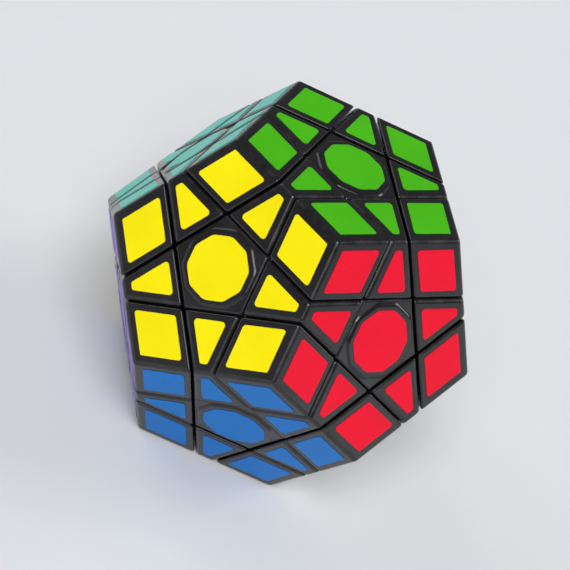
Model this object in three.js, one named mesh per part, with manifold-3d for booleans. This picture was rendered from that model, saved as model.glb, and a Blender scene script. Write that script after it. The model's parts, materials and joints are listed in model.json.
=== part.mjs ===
// Dodecahedron twisty puzzle with twelve turning faces: a core, and a shell of hooked pieces around it.
// Millimetres, +Z up, origin at the middle of the bottom face.

import * as THREE from 'three';
import { ConvexGeometry } from 'three/addons/geometries/ConvexGeometry.js';
import { mergeVertices } from 'three/addons/utils/BufferGeometryUtils.js';
import Module from 'manifold-3d';

const wasm = await Module();
wasm.setup();

// Driving dimensions of the shell.
const FACE_TO_FACE = 70; // across two opposite faces
const CUT_SHARE = 0.409; // from an edge to the cut line beside it, in edge lengths
const TURN_GAP = 0.4; // between a turning layer and everything it passes
const STEM_ANGLE = 41; // degrees from a face's axis to the sides of the stems in its layer
const FOOT_ANGLE = 48; // degrees from a face's axis to the ends of the feet in its layer
const FOOT_TOP = 26.5; // from the middle of the puzzle
const FOOT_BOTTOM = 20; // from the middle of the puzzle
const TURN_FACETS = 20; // around each turning surface, a multiple of five

// The stack of parts along each face's axis, as heights above the middle of the puzzle.
const BALL_RADIUS = 9;
const POST_RADIUS = 3.6;
const POST_TOP = 19.5;
const SCREW_TIP = 11;
const PILOT_BOTTOM = 10.4;
const PILOT_RADIUS = 1.85;
const SHANK_RADIUS = 1.5;
const BORE_RADIUS = 2.1;
const SPRING_SEAT = 25.5;
const SPRING_ROOM_RADIUS = 4.5;
const HEAD_BOTTOM = 29.2;
const HEAD_TOP = 31.2;
const HEAD_RADIUS = 3.6;
const HEAD_EDGE = 0.7; // round-over of the screw head, cut as a chamfer
const RECESS_WIDTH = 0.9; // of the cross in the screw head
const RECESS_LENGTH = 4.4;
const RECESS_DEPTH = 1.2;
const SPIGOT_BOTTOM = 31.7; // of the spigot under a centre cap
const SPIGOT_RADIUS = 4.1;
const BODY_TOP = 33.2; // where a centre's body stops under its cap
const CAP_GAP = 0.3; // between a centre's body and its cap
const RIM_TOP = 34.6; // of a cap's five-sided rim
const TABLE_APOTHEM = 8.3; // of the ten-sided table that stands on the rim
const TABLE_CHAMFER = 0.3;
const ROUND_FACETS = 16; // around bores, posts and screws

// What follows from them.
const INRADIUS = FACE_TO_FACE / 2;
const EDGE = INRADIUS / Math.sqrt(5 / 8 + (11 * Math.sqrt(5)) / 40);
const FACE_TILT = Math.atan(2); // between the axes of neighbouring faces
const CUT_PLANE = INRADIUS - CUT_SHARE * EDGE * Math.sin(FACE_TILT);
const CIRCUMRADIUS = (EDGE * Math.sqrt(3) * (1 + Math.sqrt(5))) / 4;
const OUTSIDE = 2 * CIRCUMRADIUS; // safely past the whole puzzle

const plastic = new THREE.MeshStandardMaterial({ color: 0x141214, roughness: 0.35, metalness: 0 });
const steel = new THREE.MeshStandardMaterial({ color: 0xb4b6b8, roughness: 0.3, metalness: 1 });

// ---- Solids

function solidFrom(geometry) {
  const bare = geometry.index ? geometry.clone() : geometry;
  bare.deleteAttribute('normal');
  bare.deleteAttribute('uv');
  const merged = mergeVertices(bare, 1e-4);
  const corners = merged.index.array;
  const triVerts = [];
  for (let i = 0; i < corners.length; i += 3) {
    const [a, b, c] = corners.slice(i, i + 3);
    if (a !== b && b !== c && c !== a) triVerts.push(a, b, c); // a lathe has flat triangles at its axis
  }
  const vertProperties = merged.attributes.position.array;
  const mesh = new wasm.Mesh({ numProp: 3, vertProperties, triVerts: Uint32Array.from(triVerts) });
  return new wasm.Manifold(mesh);
}

function geometryFrom(solid) {
  const mesh = solid.getMesh();
  const geometry = new THREE.BufferGeometry();
  geometry.setAttribute('position', new THREE.BufferAttribute(mesh.vertProperties, 3));
  geometry.setIndex(new THREE.BufferAttribute(mesh.triVerts, 1));
  return geometry.toNonIndexed();
}

// A solid of revolution about +Z from [radius, height] pairs that start and end on the axis.
// Its first corner points along -Y, turned by `twist` radians.
function turned(profile, facets, twist = 0) {
  const outline = profile.map(([radius, height]) => new THREE.Vector2(radius, height));
  return new THREE.LatheGeometry(outline, facets).rotateX(Math.PI / 2).rotateZ(twist);
}

function rod(radius, bottom, top) {
  return turned([[0, bottom], [radius, bottom], [radius, top], [0, top]], ROUND_FACETS);
}

// ---- The twelve faces and the turns that carry one onto another

function direction(tilt, azimuth) {
  const across = Math.sin(tilt);
  return new THREE.Vector3(across * Math.cos(azimuth), across * Math.sin(azimuth), Math.cos(tilt));
}

const FIFTH = (2 * Math.PI) / 5;
const TOP = direction(0, 0);
const upperRing = [];
const lowerRing = [];
for (let k = 0; k < 5; k++) {
  const azimuth = -Math.PI / 2 + k * FIFTH;
  upperRing.push(direction(FACE_TILT, azimuth));
  lowerRing.push(direction(Math.PI - FACE_TILT, azimuth + FIFTH / 2));
}
const FRONT = upperRing[0];
const FRONT_RIGHT = upperRing[1];
const REAR_RIGHT = upperRing[2];
const BOTTOM = TOP.clone().negate();
const faces = [TOP, ...upperRing, ...lowerRing, BOTTOM];

function areNeighbours(a, b) {
  return a !== b && a.dot(b) > 0;
}

function frameOf(axis, towards) {
  const ahead = towards.clone().addScaledVector(axis, -towards.dot(axis)).normalize();
  return new THREE.Matrix4().makeBasis(ahead.clone().cross(axis), ahead, axis);
}

// The turn that carries the top face onto `axis` and the front face onto `towards`.
function turnOnto(axis, towards) {
  const home = frameOf(TOP, FRONT).invert();
  return frameOf(axis, towards).multiply(home);
}

// ---- Cutting the shell into pieces

// A point at `reach` along a cone about the layer's axis, with the cone's side moved out by `growth`.
function onCone(degrees, reach, growth) {
  const angle = THREE.MathUtils.degToRad(degrees);
  const radius = reach * Math.sin(angle) + growth * Math.cos(angle);
  const height = reach * Math.cos(angle) - growth * Math.sin(angle);
  return [radius, height];
}

// Everything that turns with the top face: a slice above the cut plane, a waist and a wider foot.
// It is a solid of revolution, so the slice can turn while the rest stands still.
function layerGeometry(growth) {
  const waist = THREE.MathUtils.degToRad(STEM_ANGLE);
  const slice = CUT_PLANE - growth;
  const waistReach = (slice + growth * Math.sin(waist)) / Math.cos(waist);
  const profile = [
    [0, onCone(FOOT_ANGLE, 0, Math.abs(growth))[1]],
    onCone(FOOT_ANGLE, FOOT_BOTTOM / 2, growth),
    onCone(FOOT_ANGLE, FOOT_TOP + growth, growth),
    onCone(STEM_ANGLE, FOOT_TOP + growth, growth),
    onCone(STEM_ANGLE, waistReach, growth),
    [OUTSIDE, slice],
    [OUTSIDE, OUTSIDE],
    [0, OUTSIDE],
  ];
  return turned(profile, TURN_FACETS);
}

const grownLayer = layerGeometry(TURN_GAP / 2);
const shrunkLayer = layerGeometry(-TURN_GAP / 2);

function layerOf(face, geometry) {
  const neighbour = faces.find((other) => areNeighbours(face, other));
  return solidFrom(geometry.clone().applyMatrix4(turnOnto(face, neighbour)));
}

// The dodecahedron, from the corners where three faces meet.
function wholeBody() {
  const corners = [];
  for (const a of faces) {
    for (const b of faces.filter((face) => areNeighbours(a, face))) {
      for (const c of faces.filter((face) => areNeighbours(a, face) && areNeighbours(b, face))) {
        corners.push(a.clone().add(b).add(c).setLength(CIRCUMRADIUS));
      }
    }
  }
  return solidFrom(new ConvexGeometry(corners));
}

// A block that starts at `distance` from the middle of the puzzle and goes outwards along `axis`.
function beyond(axis, distance) {
  const block = new THREE.BoxGeometry(OUTSIDE, OUTSIDE, OUTSIDE).translate(0, 0, OUTSIDE / 2 + distance);
  const turn = new THREE.Quaternion().setFromUnitVectors(TOP, axis);
  return solidFrom(block.applyQuaternion(turn));
}

// The piece that belongs to all of `inside` and to no other face.
function pieceOf(inside) {
  const outward = inside.reduce((sum, face) => sum.add(face), new THREE.Vector3()).normalize();
  let piece = wholeBody().intersect(beyond(outward, FOOT_BOTTOM));
  for (const face of inside) {
    piece = piece.intersect(layerOf(face, shrunkLayer));
  }
  for (const face of faces) {
    const isNear = inside.every((other) => areNeighbours(face, other));
    if (isNear && !inside.includes(face)) piece = piece.subtract(layerOf(face, grownLayer));
  }
  return piece;
}

// ---- The parts on a face's axis, all made under the top face

const wholeCentre = pieceOf([TOP]);
const centreBody = wholeCentre.subtract(beyond(TOP, BODY_TOP));

// A centre's cap, from `bottom` up: a five-sided rim, a ten-sided table on it and a spigot under it.
function cap(bottom) {
  const toCorner = 1 / Math.cos(Math.PI / 10);
  const profile = [
    [0, SPIGOT_BOTTOM],
    [SPIGOT_RADIUS, SPIGOT_BOTTOM],
    [SPIGOT_RADIUS, bottom],
    [TABLE_APOTHEM * toCorner, bottom],
    [TABLE_APOTHEM * toCorner, INRADIUS - TABLE_CHAMFER],
    [(TABLE_APOTHEM - TABLE_CHAMFER) * toCorner, INRADIUS],
    [0, INRADIUS],
  ];
  const rim = wholeCentre.intersect(beyond(TOP, bottom)).subtract(beyond(TOP, RIM_TOP));
  return rim.add(solidFrom(turned(profile, 10, Math.PI / 10)));
}

function turningCentre() {
  return centreBody
    .subtract(solidFrom(rod(BORE_RADIUS, 0, OUTSIDE)))
    .subtract(solidFrom(rod(SPRING_ROOM_RADIUS, SPRING_SEAT, OUTSIDE)));
}

function screw() {
  const profile = [
    [0, SCREW_TIP],
    [SHANK_RADIUS, SCREW_TIP + SHANK_RADIUS],
    [SHANK_RADIUS, HEAD_BOTTOM],
    [HEAD_RADIUS, HEAD_BOTTOM],
    [HEAD_RADIUS, HEAD_TOP - HEAD_EDGE],
    [HEAD_RADIUS - HEAD_EDGE, HEAD_TOP],
    [0, HEAD_TOP],
  ];
  let solid = solidFrom(turned(profile, ROUND_FACETS));
  for (const quarter of [0, Math.PI / 2]) {
    const slot = new THREE.BoxGeometry(RECESS_LENGTH, RECESS_WIDTH, 2 * RECESS_DEPTH).rotateZ(quarter);
    solid = solid.subtract(solidFrom(slot.translate(0, 0, HEAD_TOP)));
  }
  return solid;
}

// The ball, a post for each face, and the centres of the faces that stand still, fixed to their posts.
function coreWithCentres(turningFaces) {
  const fixedCentre = centreBody.add(cap(BODY_TOP - CAP_GAP));
  const onAxis = geometryFrom(fixedCentre.add(solidFrom(rod(POST_RADIUS, 0, FOOT_TOP))));
  const bracket = rod(POST_RADIUS, 0, POST_TOP);
  const pilot = rod(PILOT_RADIUS, PILOT_BOTTOM, OUTSIDE);
  let solid = solidFrom(new THREE.IcosahedronGeometry(BALL_RADIUS, 1));
  for (const face of faces) {
    const isTurning = turningFaces.includes(face);
    const post = isTurning ? bracket : onAxis;
    solid = solid.add(layerOf(face, post));
    if (isTurning) solid = solid.subtract(layerOf(face, pilot));
  }
  return solid;
}

// ---- Assembly

const shell = new THREE.Group();
shell.position.z = INRADIUS;

function addMesh(name, geometry, material, turn) {
  const mesh = new THREE.Mesh(geometry, material);
  mesh.name = name;
  mesh.setRotationFromMatrix(turn);
  shell.add(mesh);
}

// Every set of three faces that meet at a corner, in the order that runs the same way round.
function cornersOf(list) {
  const found = [];
  list.forEach((a, i) => {
    list.slice(i + 1).forEach((b) => {
      for (const c of list.slice(list.indexOf(b) + 1)) {
        if (!areNeighbours(a, b) || !areNeighbours(b, c) || !areNeighbours(a, c)) continue;
        const isSameWay = a.clone().cross(b).dot(c) > 0;
        found.push(isSameWay ? [a, b, c] : [a, c, b]);
      }
    });
  });
  return found;
}

function edgesOf(list) {
  const found = [];
  list.forEach((a, i) => {
    for (const b of list.slice(i + 1)) {
      if (areNeighbours(a, b)) found.push([a, b]);
    }
  });
  return found;
}

const turningFaces = { front: FRONT, rear_right: REAR_RIGHT, bottom: BOTTOM };
const noTurn = new THREE.Matrix4();
const edgeGeometry = geometryFrom(pieceOf([TOP, FRONT]));
const cornerGeometry = geometryFrom(pieceOf([TOP, FRONT, FRONT_RIGHT]));
const centreGeometry = geometryFrom(turningCentre());
const screwGeometry = geometryFrom(screw());
const capGeometry = geometryFrom(cap(BODY_TOP + CAP_GAP));
const coreGeometry = geometryFrom(coreWithCentres(Object.values(turningFaces)));

addMesh('core_with_fixed_centres', coreGeometry, plastic, noTurn);

const edges = edgesOf(faces);
const corners = cornersOf(faces);

function addPieces(prefix, kind, pieces, geometry) {
  pieces.forEach((piece, index) => {
    addMesh(`${prefix}_${kind}_${index + 1}`, geometry, plastic, turnOnto(piece[0], piece[1]));
  });
}

for (const [name, face] of Object.entries(turningFaces)) {
  const neighbour = faces.find((other) => areNeighbours(face, other));
  const turn = turnOnto(face, neighbour);
  addMesh(`${name}_centre`, centreGeometry, plastic, turn);
  addMesh(`${name}_cap`, capGeometry, plastic, turn);
  addMesh(`${name}_screw`, screwGeometry, steel, turn);
  addPieces(name, 'edge', edges.filter((piece) => piece.includes(face)), edgeGeometry);
  addPieces(name, 'corner', corners.filter((piece) => piece.includes(face)), cornerGeometry);
}

function standsStill(piece) {
  return !piece.some((face) => Object.values(turningFaces).includes(face));
}

addPieces('fixed', 'edge', edges.filter(standsStill), edgeGeometry);
addPieces('fixed', 'corner', corners.filter(standsStill), cornerGeometry);

const puzzle = new THREE.Group();
puzzle.add(shell);

export default puzzle;
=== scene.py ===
"""Looks of a dodecahedron twisty puzzle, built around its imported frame. Shapes are in millimetres."""

import json
import math
import random

import bmesh
import bpy
from mathutils import Matrix, Vector

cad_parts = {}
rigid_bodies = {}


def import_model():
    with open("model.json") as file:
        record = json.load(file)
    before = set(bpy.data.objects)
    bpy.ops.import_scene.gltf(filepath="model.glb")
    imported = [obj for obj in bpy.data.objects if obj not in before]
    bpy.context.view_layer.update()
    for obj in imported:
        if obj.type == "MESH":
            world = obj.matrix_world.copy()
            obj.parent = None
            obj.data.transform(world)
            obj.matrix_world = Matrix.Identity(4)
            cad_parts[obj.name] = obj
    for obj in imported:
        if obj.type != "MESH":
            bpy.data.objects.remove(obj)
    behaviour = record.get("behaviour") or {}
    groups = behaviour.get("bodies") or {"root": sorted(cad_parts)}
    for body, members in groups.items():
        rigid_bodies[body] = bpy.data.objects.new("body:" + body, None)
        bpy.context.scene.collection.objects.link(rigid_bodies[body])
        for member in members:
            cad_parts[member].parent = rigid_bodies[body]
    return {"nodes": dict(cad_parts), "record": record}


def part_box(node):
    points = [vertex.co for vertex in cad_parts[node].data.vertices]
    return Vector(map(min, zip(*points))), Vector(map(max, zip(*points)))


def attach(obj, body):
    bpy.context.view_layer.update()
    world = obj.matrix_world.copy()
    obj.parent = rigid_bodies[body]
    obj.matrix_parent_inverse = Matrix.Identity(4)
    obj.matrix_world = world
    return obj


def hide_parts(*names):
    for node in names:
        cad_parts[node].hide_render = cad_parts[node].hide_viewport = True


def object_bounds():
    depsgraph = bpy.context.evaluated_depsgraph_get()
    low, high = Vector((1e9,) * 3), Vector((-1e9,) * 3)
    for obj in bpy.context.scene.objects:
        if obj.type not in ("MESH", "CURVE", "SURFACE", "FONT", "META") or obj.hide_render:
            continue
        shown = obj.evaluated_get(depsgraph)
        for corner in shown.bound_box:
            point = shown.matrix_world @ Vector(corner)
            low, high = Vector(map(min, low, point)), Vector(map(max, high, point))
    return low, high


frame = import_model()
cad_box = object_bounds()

MM = 0.001
MIDDLE = (cad_box[0] + cad_box[1]) / 2

# ---- Driving dimensions, with heights from the middle of the puzzle, as in the CAD source
INRADIUS = (cad_box[1].z - cad_box[0].z) / 2 / MM
CUT_SHARE = 0.409  # from an edge to the cut line beside it, in edge lengths
TURN_GAP = 0.4  # between a turning layer and everything it passes
STEM_ANGLE = 41  # degrees from a face's axis to the sides of the stems in its layer
FOOT_ANGLE = 48  # degrees from a face's axis to the ends of the feet in its layer
FOOT_TOP = 26.5
FOOT_BOTTOM = 20
STEM_TOP = 31.8  # inside the block that the stem carries

BALL_RADIUS = 9
POST_RADIUS = 3.6
POST_TOP = 19.5
PILOT_BOTTOM = 10.4
PILOT_RADIUS = 1.85
SCREW_TIP = 11
SHANK_RADIUS = 1.5
BORE_RADIUS = 2.1
SPRING_SEAT = 25.5
SPRING_ROOM_RADIUS = 4.5
HEAD_BOTTOM = 29.2
HEAD_TOP = 31.2
HEAD_RADIUS = 3.6
SPIGOT_BOTTOM = 31.7
SPIGOT_RADIUS = 4.1
BODY_TOP = 33.2
CAP_GAP = 0.3
RIM_TOP = 34.6
TABLE_APOTHEM = 8.3

# ---- Finer sizes that only the looks need
PIECE_ROUNDING = 0.7
RIM_ROUNDING = 0.4
TABLE_ROUNDING = 1.2
TABLE_CORNER = 3
TABLE_OVERLAP = 0.3  # of the table and the spigot with the rim between them
FOOT_ROUNDING = 0.35
BORE_LEAD = 0.4  # chamfer at the mouths of the bore and the spring room
SPIGOT_WALL = 1.1
POST_CHAMFER = 0.3
POST_FLARE = 1.6  # how much wider a post is where it leaves the ball

THREAD_PITCH = 0.7
THREAD_DEPTH = 0.28
THREAD_LEVELS = 8  # rings of points in one pitch
TIP_LENGTH = 0.6
HEAD_DOME = 0.9
HEAD_CHAMFER = 0.15
RECESS_LENGTH = 4.2
RECESS_WIDTH = 0.9
RECESS_DEPTH = 1.4
RECESS_TAPER = 0.45  # size at the recess's bottom, as a share of its size at the top
WIRE_RADIUS = 0.25
SPRING_RADIUS = 2.9
SPRING_TURNS = 3.5
SPRING_CLOSING = 0.6  # how much closer the end coils lie, 0 for an even pitch
SPRING_SLACK = 0.05

STICKER_THICKNESS = 0.12
STICKER_LIFT = 0.004
STICKER_MARGIN = 1.95  # from the puzzle's edges
STICKER_INSET = 1.9  # from the cut lines
STICKER_ROUNDING = 0.05
STICKER_BORDER = 0.15  # narrow ring of the flat top, where dirt shows
RHOMB_CORNER = 0.55
WEDGE_CORNER = 0.75
TABLE_STICKER_APOTHEM = 6.7
TABLE_STICKER_CORNER = 2.2
SLIP = 0.1  # how far a sticker may lie off its place
SKEW = 0.7  # degrees that it may be turned

ROUND_STEPS = 5
CUT_STEPS = 110  # around the surfaces that the layers turn on
BORE_STEPS = 64
POST_STEPS = 48
SHARP_ANGLE = 35
WELD = 0.005  # points nearer than this are merged after the cuts

# ---- What follows from them
EDGE = INRADIUS / math.sqrt(5 / 8 + 11 * math.sqrt(5) / 40)
FACE_TILT = math.atan(2)
FACE_APOTHEM = EDGE / (2 * math.tan(math.pi / 5))
CUT_WIDTH = CUT_SHARE * EDGE
CUT_PLANE = INRADIUS - CUT_WIDTH * math.sin(FACE_TILT)
OUTSIDE = 3 * INRADIUS
FIFTH = 2 * math.pi / 5


# ---- The twelve faces and the turns between them


def direction(tilt, azimuth):
    across = math.sin(tilt)
    return Vector((across * math.cos(azimuth), across * math.sin(azimuth), math.cos(tilt)))


UPPER_NAMES = ("front", "front_right", "rear_right", "rear_left", "front_left")
LOWER_NAMES = ("low_front_right", "low_right", "low_rear", "low_left", "low_front_left")
FACES = {"top": direction(0, 0)}
for k in range(5):
    azimuth = -math.pi / 2 + k * FIFTH
    FACES[UPPER_NAMES[k]] = direction(FACE_TILT, azimuth)
    FACES[LOWER_NAMES[k]] = direction(math.pi - FACE_TILT, azimuth + FIFTH / 2)
FACES["bottom"] = -FACES["top"]

TOP, FRONT, FRONT_RIGHT, FRONT_LEFT = (FACES[n] for n in ("top", "front", "front_right", "front_left"))


def neighbours(axis):
    return [other for other in FACES.values() if 0 < axis.dot(other) < 0.9]


def frame_of(axis, beside):
    ahead = (beside - beside.dot(axis) * axis).normalized()
    return Matrix((ahead.cross(axis), ahead, axis)).transposed()


def turn_onto(axis, beside):
    """The rotation that carries the top face onto axis and the front face onto beside."""
    return frame_of(axis, beside) @ frame_of(TOP, FRONT).inverted()


def face_turn(axis):
    """A rotation that carries the top face onto axis."""
    return turn_onto(axis, neighbours(axis)[0])


# ---- Solids, made in a scratch collection that is emptied at the end

scratch = bpy.data.collections.new("scratch")
bpy.context.scene.collection.children.link(scratch)


def as_object(bm, turn=None):
    if turn is not None:
        bmesh.ops.transform(bm, matrix=turn.to_4x4(), verts=bm.verts)
    mesh = bpy.data.meshes.new("solid")
    bm.to_mesh(mesh)
    bm.free()
    made = bpy.data.objects.new("solid", mesh)
    scratch.objects.link(made)
    return made


def evaluated_mesh(thing):
    """The object's mesh with its modifiers applied."""
    depsgraph = bpy.context.evaluated_depsgraph_get()
    return bpy.data.meshes.new_from_object(thing.evaluated_get(depsgraph), depsgraph=depsgraph)


def combine(operation, base, tools):
    """base with each of the tools joined, cut away or kept in common."""
    for tool in tools:
        step = base.modifiers.new(operation, "BOOLEAN")
        step.solver = "MANIFOLD"
        step.operation = operation
        step.object = tool
    made = bpy.data.objects.new("solid", evaluated_mesh(base))
    scratch.objects.link(made)
    return made


def convex_block(planes, rounding=0.0):
    """What lies behind every plane, each a (normal, distance) pair, with its edges rounded."""
    bm = bmesh.new()
    bmesh.ops.create_cube(bm, size=2 * OUTSIDE)
    for normal, distance in planes:
        cut = bmesh.ops.bisect_plane(
            bm,
            geom=bm.verts[:] + bm.edges[:] + bm.faces[:],
            dist=1e-4,
            plane_co=normal * distance,
            plane_no=normal,
            clear_outer=True,
        )
        rim = [part for part in cut["geom_cut"] if isinstance(part, bmesh.types.BMEdge)]
        bmesh.ops.contextual_create(bm, geom=rim)
    if rounding:
        bmesh.ops.bevel(
            bm,
            geom=bm.edges[:],
            offset=rounding,
            segments=ROUND_STEPS,
            profile=0.5,
            affect="EDGES",
            clamp_overlap=True,
        )
    bmesh.ops.recalc_face_normals(bm, faces=bm.faces)
    return bm


def circle(radius, height, steps):
    """Points around +Z, or the one point where the radius is nothing."""
    count = steps if radius > 1e-6 else 1
    angles = [2 * math.pi * k / steps for k in range(count)]
    return [Vector((radius * math.cos(a), radius * math.sin(a), height)) for a in angles]


def skin(rings, steps, capped=False):
    """A surface through these rings of points, from the lowest up, with a face at each end if capped."""
    bm = bmesh.new()
    made = [[bm.verts.new(point) for point in ring] for ring in rings]
    for lower, upper in zip(made, made[1:]):
        for here in range(steps):
            after = (here + 1) % steps
            corners = [lower[here % len(lower)], lower[after % len(lower)]]
            corners += [upper[after % len(upper)], upper[here % len(upper)]]
            bm.faces.new(dict.fromkeys(corners))  # a ring of one point gives the same corner twice
    if capped:
        bm.faces.new(reversed(made[0]))
        bm.faces.new(made[-1])
    return bm


def turned(profile, steps):
    """A solid of revolution about +Z from (radius, height) pairs that start and end on the axis."""
    return skin([circle(radius, height, steps) for radius, height in profile], steps)


def rounded_corners(points, radii, steps=6, closed=True):
    """The outline with an arc of its own radius at each corner."""
    outline = []
    count = len(points)
    for i, (point, radius) in enumerate(zip(points, radii)):
        corner = Vector(point)
        is_end = not closed and i in (0, count - 1)
        if radius <= 0 or is_end:
            outline.append(corner)
            continue
        back = (Vector(points[i - 1]) - corner).normalized()
        ahead = (Vector(points[(i + 1) % count]) - corner).normalized()
        half = back.angle(ahead) / 2
        centre = corner + (back + ahead).normalized() * radius / math.sin(half)
        start = (corner + back * radius / math.tan(half) - centre).normalized()
        end = (corner + ahead * radius / math.tan(half) - centre).normalized()
        outline += [centre + radius * start.slerp(end, step / steps) for step in range(steps + 1)]
    return outline


def inward(outline, amount):
    """The outline moved inwards by this amount, each side parallel to itself."""
    moved = []
    for before, here, after in zip(outline[-1:] + outline[:-1], outline, outline[1:] + outline[:1]):
        normal = (here - before).orthogonal().normalized()
        middle = (normal + (after - here).orthogonal().normalized()).normalized()
        moved.append(here + middle * amount / middle.dot(normal))
    return moved


def plate(outline, profile):
    """A closed plate with this outline, through (inset, height) pairs from its bottom up."""
    rings = []
    for inset, height in profile:
        rings.append([Vector((p.x, p.y, height)) for p in inward(outline, inset)])
    return skin(rings, len(outline), capped=True)


def rounded_rim(radius, depth, top, steps):
    """(inset, height) pairs of an arc that rises by this depth to a flat top."""
    last = math.acos(1 - depth / radius)
    angles = [last * (1 - step / steps) for step in range(steps + 1)]
    return [(radius * (math.sin(last) - math.sin(a)), top - radius * (1 - math.cos(a))) for a in angles]


def regular_outline(sides, apothem, corner):
    """A regular outline whose first side faces the front, with rounded corners."""
    reach = apothem / math.cos(math.pi / sides)
    angles = [-math.pi / 2 + (k + 0.5) * 2 * math.pi / sides for k in range(sides)]
    points = [Vector((reach * math.cos(a), reach * math.sin(a))) for a in angles]
    return rounded_corners(points, [corner] * sides, steps=4)


# ---- The cut surfaces: one solid of revolution for each face, holding all that turns with it


def on_cone(degrees, reach, growth):
    """(radius, height) at this reach along a cone about the axis, whose side is moved out by growth."""
    angle = math.radians(degrees)
    radius = reach * math.sin(angle) + growth * math.cos(angle)
    return radius, reach * math.cos(angle) - growth * math.sin(angle)


def stem_and_foot():
    """A layer's waist and foot, smaller by half a gap, with the foot's rim rounded."""
    growth = -TURN_GAP / 2
    points = [
        (0, on_cone(FOOT_ANGLE, 0, -growth)[1]),
        on_cone(FOOT_ANGLE, FOOT_BOTTOM / 2, growth),
        on_cone(FOOT_ANGLE, FOOT_TOP + growth, growth),
        on_cone(STEM_ANGLE, FOOT_TOP + growth, growth),
        on_cone(STEM_ANGLE, STEM_TOP, growth),
        (0, OUTSIDE),
    ]
    radii = (0, 0, FOOT_ROUNDING, FOOT_ROUNDING, 0, 0)
    return turned(rounded_corners(points, radii, steps=3, closed=False), CUT_STEPS)


def whole_layer():
    """Everything in a layer, larger by half a gap, to cut its neighbours with."""
    growth = TURN_GAP / 2
    waist = math.radians(STEM_ANGLE)
    slice_height = CUT_PLANE - growth
    waist_reach = (slice_height + growth * math.sin(waist)) / math.cos(waist)
    profile = [
        (0, on_cone(FOOT_ANGLE, 0, growth)[1]),
        on_cone(FOOT_ANGLE, FOOT_BOTTOM / 2, growth),
        on_cone(FOOT_ANGLE, FOOT_TOP + growth, growth),
        on_cone(STEM_ANGLE, FOOT_TOP + growth, growth),
        on_cone(STEM_ANGLE, waist_reach, growth),
        (OUTSIDE, slice_height),
        (OUTSIDE, OUTSIDE),
        (0, OUTSIDE),
    ]
    return turned(profile, CUT_STEPS)


def cut_by_layers(solid, outside):
    return combine("DIFFERENCE", solid, [as_object(whole_layer(), face_turn(face)) for face in outside])


def hooked_stem(inside):
    """The stem and foot that the layers of these faces have in common."""
    outward = sum(inside, Vector()).normalized()
    base = as_object(convex_block([(-outward, -FOOT_BOTTOM)]))
    return combine("INTERSECT", base, [as_object(stem_and_foot(), face_turn(face)) for face in inside])


# ---- Meshes that the pieces share


def block_planes(inside, outside=()):
    """The planes around the block of a piece that is in some layers and beside others."""
    outer = [(face, INRADIUS) for face in inside]
    under = [(-face, -(CUT_PLANE + TURN_GAP / 2)) for face in inside]
    beside = [(face, CUT_PLANE - TURN_GAP / 2) for face in outside]
    return outer + under + beside


def centre_planes(bottom, top):
    beside = [(face, CUT_PLANE - TURN_GAP / 2) for face in neighbours(TOP)]
    return [(TOP, top), (-TOP, -bottom)] + beside


def keep_mesh(name, solid, planes=(), rounding=PIECE_ROUNDING):
    """The solid as a shared mesh in metres, shaded smooth between its flats, with a wear mask."""
    bm = bmesh.new()
    bm.from_mesh(solid.data)
    bmesh.ops.remove_doubles(bm, verts=bm.verts, dist=WELD)
    bmesh.ops.dissolve_limit(bm, angle_limit=math.radians(0.6), verts=bm.verts, edges=bm.edges)
    bmesh.ops.recalc_face_normals(bm, faces=bm.faces)
    mesh = bpy.data.meshes.new(name)
    bm.to_mesh(mesh)
    bm.free()
    wear = mesh.attributes.new("wear", "FLOAT", "POINT")
    for vertex in mesh.vertices:
        depths = sorted(abs(distance - normal.dot(vertex.co)) for normal, distance in planes)
        nearness = 1 - depths[1] / rounding if len(depths) > 1 else 0
        wear.data[vertex.index].value = min(max(nearness, 0), 1)
    mesh.transform(Matrix.Scale(MM, 4))
    mesh.shade_smooth()
    mesh.set_sharp_from_angle(angle=math.radians(SHARP_ANGLE))
    holder = bpy.data.objects.new(name, mesh)
    scratch.objects.link(holder)
    holder.modifiers.new("flat_flats", "WEIGHTED_NORMAL").keep_sharp = True
    kept = evaluated_mesh(holder)
    kept.name = name
    return kept


def corner_mesh():
    inside = [TOP, FRONT, FRONT_RIGHT]
    planes = block_planes(inside)
    block = as_object(convex_block(planes, PIECE_ROUNDING))
    return keep_mesh("corner_moulding", combine("UNION", block, [hooked_stem(inside)]), planes)


def edge_mesh():
    inside = [TOP, FRONT]
    outside = [FRONT_RIGHT, FRONT_LEFT]
    planes = block_planes(inside, outside)
    block = as_object(convex_block(planes, PIECE_ROUNDING))
    whole = combine("UNION", block, [hooked_stem(inside)])
    return keep_mesh("edge_moulding", cut_by_layers(whole, outside), planes)


def centre_mesh():
    """The centre's body, with its foot, a bore for the screw and room for the spring."""
    planes = centre_planes(FOOT_BOTTOM, BODY_TOP)
    block = cut_by_layers(as_object(convex_block(planes, PIECE_ROUNDING)), neighbours(TOP))
    bore = [
        (0, FOOT_BOTTOM - 1),
        (BORE_RADIUS + BORE_LEAD + 1, FOOT_BOTTOM - 1),
        (BORE_RADIUS, FOOT_BOTTOM + BORE_LEAD),
        (BORE_RADIUS, SPRING_SEAT),
        (SPRING_ROOM_RADIUS, SPRING_SEAT),
        (SPRING_ROOM_RADIUS, BODY_TOP - BORE_LEAD),
        (SPRING_ROOM_RADIUS + BORE_LEAD + 1, BODY_TOP + 1),
        (0, BODY_TOP + 1),
    ]
    bored = combine("DIFFERENCE", block, [as_object(turned(bore, BORE_STEPS))])
    return keep_mesh("centre_body", bored, planes)


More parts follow.
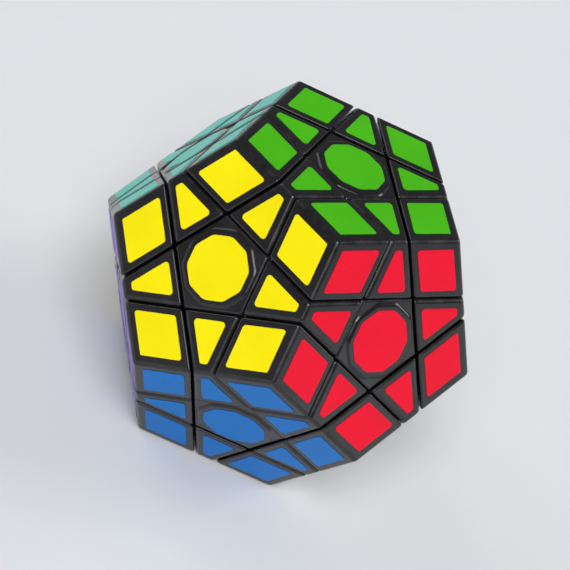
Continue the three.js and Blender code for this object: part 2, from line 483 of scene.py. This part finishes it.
def cap_mesh():
    """The five-sided rim, the ten-sided table with its rounded edge, and the spigot."""
    planes = centre_planes(BODY_TOP + CAP_GAP, RIM_TOP)
    rim = as_object(convex_block(planes, RIM_ROUNDING))
    table_profile = [(0, RIM_TOP - TABLE_OVERLAP)]
    table_profile += rounded_rim(TABLE_ROUNDING, INRADIUS - RIM_TOP, INRADIUS, steps=6)
    table = as_object(plate(regular_outline(10, TABLE_APOTHEM, TABLE_CORNER), table_profile))
    lead = 0.3
    inner = SPIGOT_RADIUS - SPIGOT_WALL
    spigot = [
        (0, RIM_TOP - TABLE_OVERLAP - 0.2),
        (inner, RIM_TOP - TABLE_OVERLAP - 0.2),
        (inner, SPIGOT_BOTTOM),
        (SPIGOT_RADIUS - lead, SPIGOT_BOTTOM),
        (SPIGOT_RADIUS, SPIGOT_BOTTOM + lead),
        (SPIGOT_RADIUS, RIM_TOP - TABLE_OVERLAP),
        (0, RIM_TOP - TABLE_OVERLAP),
    ]
    whole = combine("UNION", rim, [table, as_object(turned(spigot, BORE_STEPS))])
    return keep_mesh("centre_cap", whole, planes, RIM_ROUNDING)


def thread_ring(height):
    """Points around the screw's thread at this height, where the tip is thinner."""
    taper = min(1, 0.55 + (height - SCREW_TIP) / 3)
    ring = []
    for k in range(POST_STEPS):
        phase = (height / THREAD_PITCH - k / POST_STEPS) % 1
        radius = (SHANK_RADIUS - THREAD_DEPTH * abs(2 * phase - 1)) * taper
        angle = 2 * math.pi * k / POST_STEPS
        ring.append(Vector((radius * math.cos(angle), radius * math.sin(angle), height)))
    return ring


def cross_recess():
    """Two tapered slots to cut into the screw's head."""
    slots = []
    for quarter in (0, math.pi / 2):
        slot = bmesh.new()
        bmesh.ops.create_cube(slot, size=2)
        for vertex in slot.verts:
            share = 1 if vertex.co.z > 0 else RECESS_TAPER
            vertex.co.x *= RECESS_LENGTH / 2 * share
            vertex.co.y *= RECESS_WIDTH / 2 * share
            vertex.co.z *= RECESS_DEPTH
        shift = Matrix.Translation((0, 0, HEAD_TOP)) @ Matrix.Rotation(quarter, 4, "Z")
        bmesh.ops.transform(slot, matrix=shift, verts=slot.verts)
        slots.append(as_object(slot))
    return slots


def screw_mesh():
    """A pan-head screw with a thread in the core's post and a cross recess."""
    level = THREAD_PITCH / THREAD_LEVELS
    thread_bottom = SCREW_TIP + TIP_LENGTH
    level_count = math.ceil((POST_TOP - thread_bottom) / level)
    shank = SHANK_RADIUS - THREAD_DEPTH / 2
    head = [
        (shank, POST_TOP + 0.2),
        (shank, HEAD_BOTTOM),
        (HEAD_RADIUS - HEAD_CHAMFER, HEAD_BOTTOM),
        (HEAD_RADIUS, HEAD_BOTTOM + HEAD_CHAMFER),
        (HEAD_RADIUS, HEAD_TOP - HEAD_DOME),
    ]
    for k in range(1, 8):
        angle = math.pi / 2 * k / 8
        radius = HEAD_RADIUS * math.cos(angle) ** 0.7
        head.append((radius, HEAD_TOP - HEAD_DOME * (1 - math.sin(angle))))
    head.append((0, HEAD_TOP))
    rings = [circle(0, SCREW_TIP, POST_STEPS)]
    rings += [thread_ring(thread_bottom + k * level) for k in range(level_count)]
    rings += [circle(radius, height, POST_STEPS) for radius, height in head]
    blank = as_object(skin(rings, POST_STEPS))
    return keep_mesh("screw", combine("DIFFERENCE", blank, cross_recess()))


def spring_mesh():
    """A compression spring, its end coils closer together, between its seat and the screw's head."""
    wire_steps = 12
    turn_steps = 40
    bottom = SPRING_SEAT + WIRE_RADIUS + SPRING_SLACK
    rise = HEAD_BOTTOM - WIRE_RADIUS - SPRING_SLACK - bottom
    count = int(SPRING_TURNS * turn_steps)
    rings = []
    for i in range(count + 1):
        share = i / count
        eased = share - SPRING_CLOSING * math.sin(2 * math.pi * share) / (2 * math.pi)
        angle = 2 * math.pi * SPRING_TURNS * share
        outward = Vector((math.cos(angle), math.sin(angle), 0))
        centre = outward * SPRING_RADIUS + TOP * (bottom + rise * eased)
        ring = []
        for k in range(wire_steps):
            around = 2 * math.pi * k / wire_steps
            ring.append(centre + (outward * math.cos(around) + TOP * math.sin(around)) * WIRE_RADIUS)
        rings.append(ring)
    return keep_mesh("spring", as_object(skin(rings, wire_steps, capped=True)))


def core_mesh():
    """The ball with its twelve flared posts, each with a pilot hole for its screw."""
    bm = bmesh.new()
    bmesh.ops.create_icosphere(bm, subdivisions=4, radius=BALL_RADIUS)
    post = [(0, 0), (POST_RADIUS, 0)]
    post += [(POST_RADIUS + POST_FLARE * (1 - k / 5) ** 2, BALL_RADIUS - 1 + 0.8 * k) for k in range(6)]
    post += [(POST_RADIUS, POST_TOP - POST_CHAMFER), (POST_RADIUS - POST_CHAMFER, POST_TOP)]
    post.append((0, POST_TOP))
    pilot = [
        (0, PILOT_BOTTOM),
        (PILOT_RADIUS, PILOT_BOTTOM + 0.5),
        (PILOT_RADIUS, POST_TOP - POST_CHAMFER),
        (PILOT_RADIUS + POST_CHAMFER + 1, POST_TOP + 1),
        (0, POST_TOP + 1),
    ]
    turns = [face_turn(axis) for axis in FACES.values()]
    posts = [as_object(turned(post, POST_STEPS), turn) for turn in turns]
    pilots = [as_object(turned(pilot, POST_STEPS), turn) for turn in turns]
    whole = combine("UNION", as_object(bm), posts)
    return keep_mesh("core", combine("DIFFERENCE", whole, pilots))


# ---- Stickers, as outlines on the top face

OUTER_LINE = FACE_APOTHEM - STICKER_MARGIN
INNER_LINE = FACE_APOTHEM - CUT_WIDTH + STICKER_INSET
BESIDE_LINE = FACE_APOTHEM - CUT_WIDTH - STICKER_INSET


def side_direction(index):
    angle = -math.pi / 2 + index * FIFTH
    return Vector((math.cos(angle), math.sin(angle)))


def meeting(first, first_distance, second, second_distance):
    """Where the lines first . p = first_distance and second . p = second_distance cross."""
    slant = first.x * second.y - first.y * second.x
    x = (first_distance * second.y - second_distance * first.y) / slant
    y = (first.x * second_distance - second.x * first_distance) / slant
    return Vector((x, y))


def rhomb_outline():
    a, b = side_direction(0), side_direction(1)
    points = [
        meeting(a, INNER_LINE, b, INNER_LINE),
        meeting(a, OUTER_LINE, b, INNER_LINE),
        meeting(a, OUTER_LINE, b, OUTER_LINE),
        meeting(a, INNER_LINE, b, OUTER_LINE),
    ]
    return rounded_corners(points, [share * RHOMB_CORNER for share in (1.3, 1, 0.6, 1)])


def wedge_outline():
    a, left, right = side_direction(0), side_direction(-1), side_direction(1)
    points = [
        meeting(a, OUTER_LINE, left, BESIDE_LINE),
        meeting(a, OUTER_LINE, right, BESIDE_LINE),
        meeting(a, INNER_LINE, right, BESIDE_LINE),
        meeting(a, INNER_LINE, left, BESIDE_LINE),
    ]
    return rounded_corners(points, [share * WEDGE_CORNER for share in (0.8, 0.8, 1, 1)])


def sticker_mesh(name, outline):
    """A thin plate about its own middle, with a soft upper rim. Returns it with its middle."""
    middle = sum(outline, Vector((0, 0))) / len(outline)
    rim = rounded_rim(STICKER_ROUNDING, STICKER_ROUNDING, STICKER_THICKNESS, steps=3)
    border = (rim[-1][0] + STICKER_BORDER, STICKER_THICKNESS)
    bm = plate([p - middle for p in outline], [(0, 0)] + rim + [border])
    wear = bm.verts.layers.float.new("wear")
    for vertex in bm.verts[: -len(outline)]:
        vertex[wear] = 1
    bmesh.ops.scale(bm, vec=(MM, MM, MM), verts=bm.verts)
    mesh = bpy.data.meshes.new(name)
    bm.to_mesh(mesh)
    bm.free()
    mesh.shade_smooth()
    mesh.set_sharp_from_angle(angle=math.radians(50))
    return mesh, middle


# ---- Materials


class Shading:
    """A material's node tree, with short ways to add what these materials are made of."""

    def __init__(self, name):
        self.material = bpy.data.materials.new(name)
        self.material.use_nodes = True
        self.tree = self.material.node_tree
        self.shader = self.tree.nodes["Principled BSDF"]
        self.coordinates = self.add("ShaderNodeTexCoord").outputs["Object"]

    def add(self, kind, **settings):
        node = self.tree.nodes.new(kind)
        for key, value in settings.items():
            setattr(node, key, value)
        return node

    def link(self, source, target):
        self.tree.links.new(source, target)

    def drive(self, source, socket):
        """Links the source to one of the shader's own sockets."""
        self.link(source, self.shader.inputs[socket])

    def moved(self, amount):
        """The piece's own coordinates, shifted by a random amount so that like pieces differ."""
        random_value = self.add("ShaderNodeObjectInfo").outputs["Random"]
        shifted = self.add("ShaderNodeVectorMath", operation="ADD")
        self.link(self.coordinates, shifted.inputs[0])
        self.link(self.ramp(random_value, 0, amount), shifted.inputs[1])
        return shifted.outputs[0]

    def noise(self, place, scale, detail=2, stretch=None):
        if stretch:
            mapping = self.add("ShaderNodeMapping")
            mapping.inputs["Scale"].default_value = stretch
            self.link(place, mapping.inputs["Vector"])
            place = mapping.outputs[0]
        node = self.add("ShaderNodeTexNoise")
        node.inputs["Scale"].default_value = scale
        node.inputs["Detail"].default_value = detail
        self.link(place, node.inputs["Vector"])
        return node.outputs["Fac"]

    def ramp(self, value, low, high, from_low=0.0, from_high=1.0):
        node = self.add("ShaderNodeMapRange")
        limits = {"From Min": from_low, "From Max": from_high, "To Min": low, "To Max": high}
        for socket, number in limits.items():
            node.inputs[socket].default_value = number
        self.link(value, node.inputs["Value"])
        return node.outputs["Result"]

    def calculate(self, operation, first, second):
        node = self.add("ShaderNodeMath", operation=operation)
        self.link(first, node.inputs[0])
        self.link(second, node.inputs[1])
        return node.outputs[0]

    def times(self, first, second):
        return self.calculate("MULTIPLY", first, second)

    def plus(self, first, second):
        return self.calculate("ADD", first, second)

    def blend(self, share, first, second):
        """Goes from the first colour to the second. The first may be a colour or a node's output."""
        node = self.add("ShaderNodeMix", data_type="RGBA")
        if isinstance(first, tuple):
            node.inputs["A"].default_value = (*first, 1)
        else:
            self.link(first, node.inputs["A"])
        node.inputs["B"].default_value = (*second, 1)
        self.link(share, node.inputs["Factor"])
        return node.outputs["Result"]

    def bump(self, layers):
        """Chains (height, strength, distance) layers into the shader's normal."""
        previous = None
        for height, strength, distance in layers:
            node = self.add("ShaderNodeBump")
            node.inputs["Strength"].default_value = strength
            node.inputs["Distance"].default_value = distance
            self.link(height, node.inputs["Height"])
            if previous:
                self.link(previous, node.inputs["Normal"])
            previous = node.outputs["Normal"]
        self.drive(previous, "Normal")

    def wear(self):
        return self.add("ShaderNodeAttribute", attribute_name="wear").outputs["Fac"]


def black_plastic(name, fresh, worn, roughness):
    """Moulded ABS: slow waves, a fine grain, faint rubbing scratches, and edges that are rubbed dull."""
    look = Shading(name)
    place = look.moved(0.35)
    clouds = look.noise(place, 70, 3)
    grain = look.noise(place, 5200, 2)
    scratches = look.noise(place, 420, 4, stretch=(1, 9, 1))
    patches = look.ramp(look.noise(place, 330, 4), 0, 1, from_low=0.42, from_high=0.62)
    rubbed = look.times(look.wear(), patches)
    paleness = look.plus(look.ramp(clouds, 0, 0.25), rubbed)
    look.drive(look.blend(paleness, fresh, worn), "Base Color")
    even = look.ramp(clouds, roughness - 0.05, roughness + 0.07, from_low=0.3, from_high=0.7)
    scratched = look.plus(even, look.ramp(scratches, 0, 0.08, from_low=0.55, from_high=0.8))
    look.drive(look.plus(scratched, look.ramp(rubbed, 0, 0.16)), "Roughness")
    look.bump([(clouds, 0.25, 0.00012), (grain, 0.12, 0.000012), (scratches, 0.05, 0.00002)])
    look.shader.inputs["IOR"].default_value = 1.52
    return look.material


def vinyl(name, colour):
    """Coloured vinyl under a clear film, with a faint orange peel and a little dirt at its rim."""
    look = Shading(name)
    place = look.moved(0.35)
    clouds = look.noise(place, 90, 2)
    peel = look.noise(place, 950, 2)
    scuffs = look.noise(place, 300, 5, stretch=(9, 1, 1))
    smudges = look.ramp(look.noise(place, 420, 4), 0, 0.55, from_low=0.45, from_high=0.75)
    deep = tuple(0.95 * c for c in colour)
    pale = tuple(min(1, 1.03 * c) for c in colour)
    soiled = tuple(0.35 * c + 0.01 for c in colour)
    tinted = look.blend(look.ramp(clouds, 0, 1, from_low=0.3, from_high=0.7), deep, pale)
    look.drive(look.blend(look.times(look.wear(), smudges), tinted, soiled), "Base Color")
    even = look.ramp(clouds, 0.3, 0.38, from_low=0.3, from_high=0.7)
    scuffed = look.plus(even, look.ramp(scuffs, 0, 0.18, from_low=0.58, from_high=0.8))
    look.drive(scuffed, "Roughness")
    look.bump([(clouds, 0.15, 0.0001), (peel, 0.1, 0.00002)])
    look.shader.inputs["Specular IOR Level"].default_value = 0.12
    return look.material


def turned_steel(name, colour, roughness, ring_scale):
    """Plated steel with fine rings from turning or drawing, and duller patches."""
    look = Shading(name)
    place = look.moved(0.2)
    patches = look.noise(place, 260, 3)
    rings = look.noise(place, ring_scale, 2, stretch=(1, 1, 12))
    dark = tuple(0.72 * c for c in colour)
    shine = look.ramp(patches, 0, 1, from_low=0.35, from_high=0.65)
    look.drive(look.blend(shine, dark, colour), "Base Color")
    patchy = look.ramp(patches, roughness - 0.06, roughness + 0.1)
    look.drive(look.plus(patchy, look.ramp(rings, 0, 0.1)), "Roughness")
    look.bump([(rings, 0.2, 0.00002)])
    look.shader.inputs["Metallic"].default_value = 1
    return look.material


plastic = black_plastic("black_abs", (0.0050, 0.0040, 0.0045), (0.022, 0.021, 0.022), roughness=0.21)
core_plastic = black_plastic("core_abs", (0.016, 0.016, 0.017), (0.050, 0.050, 0.052), roughness=0.42)
screw_steel = turned_steel("zinc_plate", (0.62, 0.63, 0.66), roughness=0.28, ring_scale=900)
spring_steel = turned_steel("spring_wire", (0.42, 0.41, 0.40), roughness=0.22, ring_scale=500)

STICKER_SLOTS = {
    "top": "sticker_green",
    "front": "sticker_yellow",
    "front_right": "sticker_red",
    "rear_right": "sticker_orange",
    "rear_left": "sticker_pink",
    "front_left": "sticker_turquoise",
    "low_front_right": "sticker_blue",
    "low_right": "sticker_white",
    "low_rear": "sticker_dark_green",
    "low_left": "sticker_cream",
    "low_front_left": "sticker_lavender",
    "bottom": "sticker_grey",
}
SLOT_COLOURS = {row["slot"]: tuple(row["base_color"][:3]) for row in frame["record"]["materials"]}
vinyls = {face: vinyl(slot, SLOT_COLOURS[slot]) for face, slot in STICKER_SLOTS.items()}

# ---- Assembly

FIXED = "core_with_fixed_centres"
BODIES = frame["record"]["behaviour"]["bodies"]
BODY_OF = {node: body for body, nodes in BODIES.items() for node in nodes}
TURNING = {node[: -len("_centre")]: BODY_OF[node] for node in frame["nodes"] if node.endswith("_centre")}
NODE_BOXES = {node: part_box(node) for node in frame["nodes"]}
NODE_WAYS = {node: (low + high) / 2 - MIDDLE for node, (low, high) in NODE_BOXES.items()}


def node_on(kind, way):
    """The CAD node of this kind that lies nearest to this direction from the middle."""
    like = [node for node in NODE_WAYS if f"_{kind}" in node]
    return min(like, key=lambda node: NODE_WAYS[node].angle(way))


def place(name, mesh, material, turn, body, slot, stands_for=None, shift=Vector()):
    """Puts a piece on a CAD body, turned about the puzzle's middle and shifted from it in metres."""
    if material.name not in mesh.materials:
        mesh.materials.append(material)
    piece = bpy.data.objects.new(name, mesh)
    bpy.context.scene.collection.objects.link(piece)
    piece.matrix_world = Matrix.Translation(MIDDLE + shift) @ turn.to_4x4()
    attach(piece, body)
    if stands_for:
        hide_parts(stands_for)


shell_shapes = {"edge": edge_mesh(), "corner": corner_mesh()}
centre_shape = centre_mesh()
cap_shape = cap_mesh()
screw_shape = screw_mesh()
spring_shape = spring_mesh()
sticker_shapes = {
    "rhomb": sticker_mesh("rhomb", rhomb_outline()),
    "wedge": sticker_mesh("wedge", wedge_outline()),
    "table": sticker_mesh("table", regular_outline(10, TABLE_STICKER_APOTHEM, TABLE_STICKER_CORNER)),
}
draw = random.Random(12)


def place_stack(face_name, axis):
    """The centre body, cap, screw and spring of a face."""
    turn = face_turn(axis)
    body = TURNING.get(face_name, "core")
    stands_for = {part: FIXED for part in ("centre", "cap", "screw")}
    if face_name in TURNING:
        stands_for = {part: f"{face_name}_{part}" for part in stands_for}
    black = (plastic, turn, body, "black_plastic")
    place(f"{face_name}_centre_body", centre_shape, *black, stands_for["centre"])
    place(f"{face_name}_centre_cap", cap_shape, *black, stands_for["cap"])
    screw_name = f"{face_name}_axle_screw"
    place(screw_name, screw_shape, screw_steel, turn, "core", "screw_steel", stands_for["screw"])
    spring_name = f"{face_name}_spring"
    place(spring_name, spring_shape, spring_steel, turn, body, "screw_steel", stands_for["centre"])


def place_sticker(kind, face_name, place_name, turn, body):
    """A sticker of this kind, laid by hand: a little off its place and a little turned."""
    shape, middle = sticker_shapes[kind]
    mesh = bpy.data.meshes.get(f"{kind}_{face_name}") or shape.copy()
    mesh.name = f"{kind}_{face_name}"
    slip = Vector((draw.uniform(-SLIP, SLIP), draw.uniform(-SLIP, SLIP), 0))
    spin = Matrix.Rotation(math.radians(draw.uniform(-SKEW, SKEW)), 3, "Z")
    shift = turn @ (Vector((middle.x, middle.y, INRADIUS + STICKER_LIFT)) + slip) * MM
    name = f"sticker_{face_name}_{place_name}"
    place(name, mesh, vinyls[face_name], turn @ spin, body, STICKER_SLOTS[face_name], shift=shift)


def place_shell_piece(kind, node, turn):
    """An edge or corner, unless another of its faces has already placed it."""
    name = f"{node}_moulding"
    if name not in bpy.data.objects:
        place(name, shell_shapes[kind], plastic, turn, BODY_OF[node], "black_plastic", node)


place("core", core_mesh(), core_plastic, Matrix.Identity(3), "core", "black_plastic", FIXED)
for face_name, axis in FACES.items():
    place_stack(face_name, axis)
for face_name, axis in FACES.items():
    place_sticker("table", face_name, "centre", face_turn(axis), TURNING.get(face_name, "core"))
    for number, beside in enumerate(neighbours(axis), start=1):
        turn = turn_onto(axis, beside)
        edge = node_on("edge", axis + beside)
        corner = node_on("corner", axis + beside + turn @ FRONT_RIGHT)
        place_shell_piece("edge", edge, turn)
        place_shell_piece("corner", corner, turn)
        place_sticker("wedge", face_name, f"edge_{number}", turn, BODY_OF[edge])
        place_sticker("rhomb", face_name, f"corner_{number}", turn, BODY_OF[corner])

for leftover in list(scratch.objects):
    bpy.data.objects.remove(leftover)
bpy.data.collections.remove(scratch)

# ---- Studio


def studio_floor():
    """A wide pale sheet that the puzzle stands on."""
    bm = bmesh.new()
    bmesh.ops.create_grid(bm, x_segments=2, y_segments=2, size=4)
    mesh = bpy.data.meshes.new("studio_floor")
    bm.to_mesh(mesh)
    bm.free()
    floor = bpy.data.objects.new("studio_floor", mesh)
    floor.location.z = cad_box[0].z - (STICKER_THICKNESS + 0.03) * MM
    bpy.context.scene.collection.objects.link(floor)
    look = Shading("floor_paper")
    mottle = look.noise(look.coordinates, 40, 4)
    look.drive(look.blend(mottle, (0.80, 0.81, 0.83), (0.84, 0.85, 0.86)), "Base Color")
    look.shader.inputs["Roughness"].default_value = 0.75
    mesh.materials.append(look.material)


def view_direction(azimuth, elevation):
    """From the puzzle to this azimuth and elevation in degrees, where azimuth 0 is in front."""
    a, e = math.radians(azimuth), math.radians(elevation)
    return Vector((math.sin(a) * math.cos(e), -math.cos(a) * math.cos(e), math.sin(e)))


def add_lamp(name, kind, azimuth, elevation, distance, strength):
    data = bpy.data.lights.new(name, kind)
    data.energy = strength
    lamp = bpy.data.objects.new(name, data)
    way = view_direction(azimuth, elevation)
    lamp.location = MIDDLE + way * distance
    lamp.rotation_euler = way.to_track_quat("Z", "Y").to_euler()
    bpy.context.scene.collection.objects.link(lamp)
    return lamp


def broad_light(name, azimuth, elevation, softness, strength):
    """Even light from a disc this many degrees wide."""
    lamp = add_lamp(name, "SUN", azimuth, elevation, 2, strength)
    lamp.data.angle = math.radians(softness)


def light_card(name, azimuth):
    """A low, cool card that the puzzle's faces and rounded edges mirror, and that lights nothing else."""
    lamp = add_lamp(name, "AREA", azimuth, elevation=2, distance=0.9, strength=0.3)
    lamp.visible_camera = False
    lamp.visible_diffuse = False
    lamp.data.color = (0.88, 0.94, 1)
    lamp.data.shape = "RECTANGLE"
    lamp.data.size = 0.8
    lamp.data.size_y = 0.12


def camera(azimuth, elevation, roll, distance, lens):
    """A camera that looks at the middle of the puzzle, rolled to its left by roll degrees."""
    back = view_direction(azimuth, elevation)
    level = Vector((math.cos(math.radians(azimuth)), math.sin(math.radians(azimuth)), 0))
    right = level * math.cos(math.radians(roll)) + back.cross(level) * math.sin(math.radians(roll))
    data = bpy.data.cameras.new("camera")
    data.lens = lens
    data.clip_start = 0.01
    made = bpy.data.objects.new("camera", data)
    turn = Matrix((right, back.cross(right), back)).transposed()
    made.matrix_world = Matrix.Translation(MIDDLE + back * distance) @ turn.to_4x4()
    bpy.context.scene.collection.objects.link(made)
    bpy.context.scene.camera = made


def soft_room(horizon, overhead, blend_height):
    """A pale surrounding that darkens from the horizon up."""
    world = bpy.data.worlds.new("soft_room")
    world.use_nodes = True
    nodes, links = world.node_tree.nodes, world.node_tree.links
    height = nodes.new("ShaderNodeSeparateXYZ")
    links.new(nodes.new("ShaderNodeTexCoord").outputs["Generated"], height.inputs[0])
    share = nodes.new("ShaderNodeMapRange")
    share.interpolation_type = "SMOOTHSTEP"
    share.inputs["From Max"].default_value = blend_height
    links.new(height.outputs["Z"], share.inputs["Value"])
    tint = nodes.new("ShaderNodeMix")
    tint.data_type = "RGBA"
    tint.inputs["A"].default_value = (*horizon, 1)
    tint.inputs["B"].default_value = (*overhead, 1)
    links.new(share.outputs["Result"], tint.inputs["Factor"])
    links.new(tint.outputs["Result"], nodes["Background"].inputs["Color"])
    bpy.context.scene.world = world


studio_floor()
soft_room(horizon=(0.66, 0.68, 0.71), overhead=(0.19, 0.20, 0.22), blend_height=0.22)
broad_light("key_light", azimuth=28, elevation=48, softness=35, strength=2.15)
broad_light("left_light", azimuth=-85, elevation=35, softness=40, strength=0.5)
broad_light("rear_light", azimuth=148, elevation=28, softness=30, strength=0.8)
light_card("front_card", azimuth=-20)
light_card("right_card", azimuth=107)
camera(azimuth=25.5, elevation=36, roll=30.5, distance=18.9 * EDGE * MM, lens=175)
bpy.context.scene.view_settings.view_transform = "Standard"
